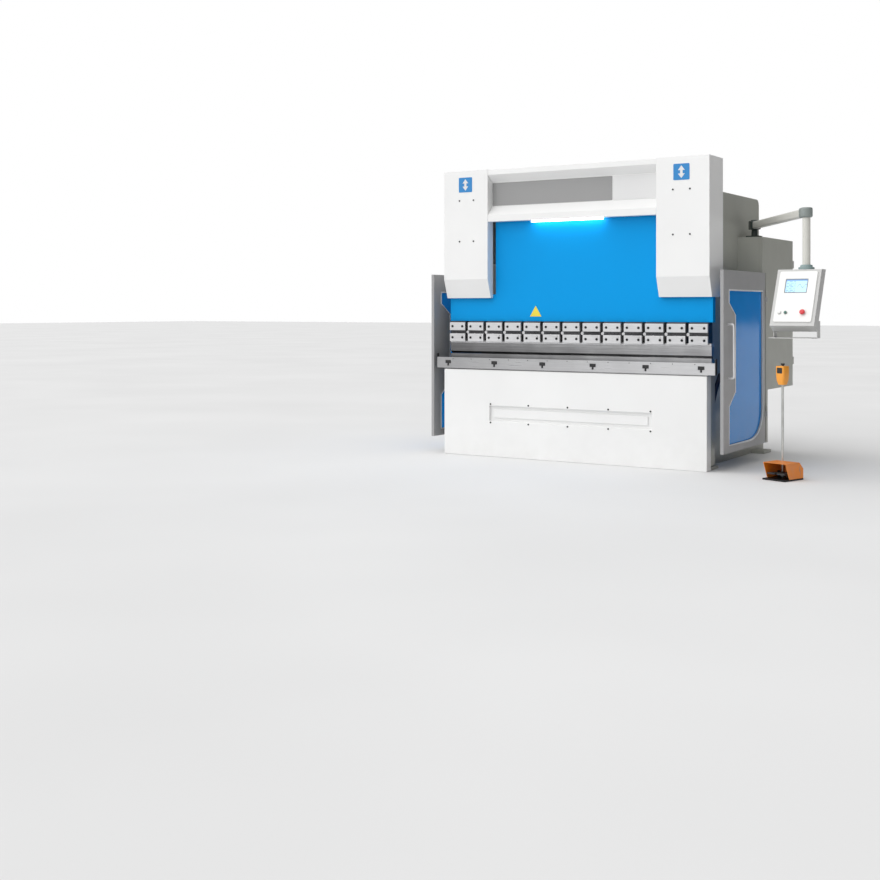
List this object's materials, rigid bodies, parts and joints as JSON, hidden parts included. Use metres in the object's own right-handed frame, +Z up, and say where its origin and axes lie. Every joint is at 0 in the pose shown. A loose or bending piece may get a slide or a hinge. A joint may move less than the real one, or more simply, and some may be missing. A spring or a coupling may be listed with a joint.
{
  "type": "press brake",
  "caption": "Hydraulic press brake: C-frames, blue ram with tool clamps, die rail, side guard doors, back gauge, control cabinet, swing-arm pendant and a foot pedal station.",
  "frame": {"origin": "centre of the four anchor-bolt holes at floor level", "axes": "+X to the operator's right, +Y from the operator into the machine, +Z up"},
  "size_m": [3.6543, 2.4201, 2.569],
  "materials": {
    "white_paint": "satin powder coat",
    "grey_paint": "satin powder coat",
    "door_grey": "satin powder coat",
    "blue_paint": "satin paint",
    "tool_steel": "ground",
    "clamp_steel": "ground, bright",
    "rail_paint": "satin powder coat",
    "black_oxide": "black oxide",
    "blue_glass": "tinted sheet",
    "handle_metal": "satin",
    "plate_finish": "printed plates with no lettering",
    "yellow_plate": "satin",
    "lamp_lens": "frosted",
    "rod_chrome": "polished",
    "cylinder_paint": "satin",
    "tank_paint": "satin",
    "motor_paint": "satin",
    "zinc": "zinc plated",
    "gear_plastic": "moulded",
    "bracket_green": "satin",
    "arm_paint": "satin",
    "elbow_paint": "satin casting",
    "case_paint": "satin",
    "screen_glass": "gloss",
    "red_plastic": "gloss",
    "white_plastic": "gloss",
    "green_plastic": "gloss",
    "orange_paint": "textured",
    "amber_plastic": "satin",
    "black_plastic": "satin",
    "hose_rubber": "smooth"
  },
  "bodies": {
    "root": {"side_frame_left": "grey_paint", "side_frame_right": "grey_paint", "lower_beam": "grey_paint", "frame_ties": "grey_paint", "bed_apron": "white_paint", "die_table": "tool_steel", "die_rail": "tool_steel", "front_rail": "rail_paint", "rail_fittings": "black_oxide", "ram_cylinders": "cylinder_paint", "cylinder_covers": "white_paint", "visor_cover": "white_paint", "front_plates": "plate_finish", "lamp_bar": "lamp_lens", "frame_screws": "black_oxide", "oil_tank": "tank_paint", "pump_motor": "motor_paint", "door_posts": "door_grey", "hinge_parts": "zinc", "cabinet_shell": "grey_paint", "control_gear": "gear_plastic", "pendant_bracket": "bracket_green", "gauge_rails": "tool_steel", "side_hose": "hose_rubber"},
    "ram": {"ram_plate": "blue_paint", "tool_clamps": "clamp_steel", "clamp_screws": "black_oxide", "clamp_wedges": "clamp_steel", "upper_punch": "tool_steel", "piston_rods": "rod_chrome", "triangle_plate": "yellow_plate"},
    "door_left": {"door_frame_left": "door_grey", "door_glass_left": "blue_glass", "door_handle_left": "handle_metal"},
    "door_right": {"door_frame_right": "door_grey", "door_glass_right": "blue_glass", "door_handle_right": "handle_metal"},
    "cabinet_door": {"cabinet_door": "grey_paint"},
    "cabinet_latch": {"cabinet_latch": "black_plastic"},
    "arm": {"pendant_arm": "arm_paint", "pendant_elbow": "elbow_paint"},
    "pendant": {"drop_tube": "arm_paint", "pendant_case": "case_paint", "pendant_bezel": "case_paint", "pendant_screen": "screen_glass", "pendant_tray": "case_paint"},
    "start_button": {"start_button": "white_plastic"},
    "pause_button": {"pause_button": "green_plastic"},
    "pendant_stop": {"pendant_stop": "red_plastic"},
    "station": {"station_base": "orange_paint", "pedal_hood": "orange_paint", "station_post": "zinc", "stop_box": "amber_plastic"},
    "treadle_left": {"treadle_left": "black_plastic"},
    "treadle_right": {"treadle_right": "black_plastic"},
    "station_stop": {"station_stop": "black_plastic"},
    "gauge_carriage": {"gauge_carriage": "tool_steel"},
    "gauge_beam": {"gauge_beam": "tool_steel"},
    "finger_left": {"gauge_finger_left": "clamp_steel"},
    "finger_right": {"gauge_finger_right": "clamp_steel"}
  },
  "joints": [
    {"name": "ram_stroke", "type": "slide", "parent": "root", "child": "ram", "axis": [0, 0, 1], "range_m": [0, 0.15]},
    {"name": "door_left_swing", "type": "hinge", "parent": "root", "child": "door_left", "pos_m": [-1.398, 0.17, 0.9], "axis": [0, 0, -1], "range_deg": [0, 90]},
    {"name": "door_right_swing", "type": "hinge", "parent": "root", "child": "door_right", "pos_m": [1.398, 0.17, 0.9], "axis": [0, 0, 1], "range_deg": [0, 90]},
    {"name": "cabinet_swing", "type": "hinge", "parent": "root", "child": "cabinet_door", "pos_m": [1.339, 1.152, 1.28], "axis": [0, 0, 1], "range_deg": [0, 110]},
    {"name": "latch_turn", "type": "hinge", "parent": "cabinet_door", "child": "cabinet_latch", "pos_m": [1.34, 0.28, 1.28], "axis": [1, 0, 0], "range_deg": [0, 90]},
    {"name": "arm_swing", "type": "hinge", "parent": "root", "child": "arm", "pos_m": [1.25, 0.295, 2.06], "axis": [0, 0, 1], "range_deg": [-20, 57]},
    {"name": "pendant_turn", "type": "hinge", "parent": "arm", "child": "pendant", "pos_m": [2.07134, -0.96015, 2], "axis": [0, 0, 1], "range_deg": [-60, 90]},
    {"name": "start_button_press", "type": "slide", "parent": "pendant", "child": "start_button", "axis": [0, 0.8953, -0.4455], "range_m": [0, 0.003], "stiffness_N_per_m": 400, "springref_m": -0.003},
    {"name": "pause_button_press", "type": "slide", "parent": "pendant", "child": "pause_button", "axis": [0, 0.8953, -0.4455], "range_m": [0, 0.003], "stiffness_N_per_m": 400, "springref_m": -0.003},
    {"name": "pendant_stop_press", "type": "slide", "parent": "pendant", "child": "pendant_stop", "axis": [0, 0.8953, -0.4455], "range_m": [0, 0.003], "stiffness_N_per_m": 500, "springref_m": -0.004},
    {"name": "station_shift", "type": "slide", "parent": "root", "child": "station", "axis": [1, 0, 0], "range_m": [0, 0.3]},
    {"name": "treadle_left_press", "type": "hinge", "parent": "station", "child": "treadle_left", "pos_m": [1.92163, -0.93343, 0.04], "axis": [0.9511, -0.309, 0], "range_deg": [0, 8], "stiffness_Nm_per_rad": 25, "springref_deg": -8.59},
    {"name": "treadle_right_press", "type": "hinge", "parent": "station", "child": "treadle_right", "pos_m": [1.92163, -0.93343, 0.04], "axis": [0.9511, -0.309, 0], "range_deg": [0, 8], "stiffness_Nm_per_rad": 25, "springref_deg": -8.59},
    {"name": "station_stop_press", "type": "slide", "parent": "station", "child": "station_stop", "axis": [0, 0, -1], "range_m": [0, 0.004], "stiffness_N_per_m": 500, "springref_m": -0.004},
    {"name": "gauge_depth", "type": "slide", "parent": "root", "child": "gauge_carriage", "axis": [0, 1, 0], "range_m": [-0.06, 0.2]},
    {"name": "gauge_lift", "type": "slide", "parent": "gauge_carriage", "child": "gauge_beam", "axis": [0, 0, 1], "range_m": [0, 0.08]},
    {"name": "finger_left_shift", "type": "slide", "parent": "gauge_beam", "child": "finger_left", "axis": [1, 0, 0], "range_m": [-0.25, 0.25]},
    {"name": "finger_right_shift", "type": "slide", "parent": "gauge_beam", "child": "finger_right", "axis": [1, 0, 0], "range_m": [-0.25, 0.25]}
  ]
}
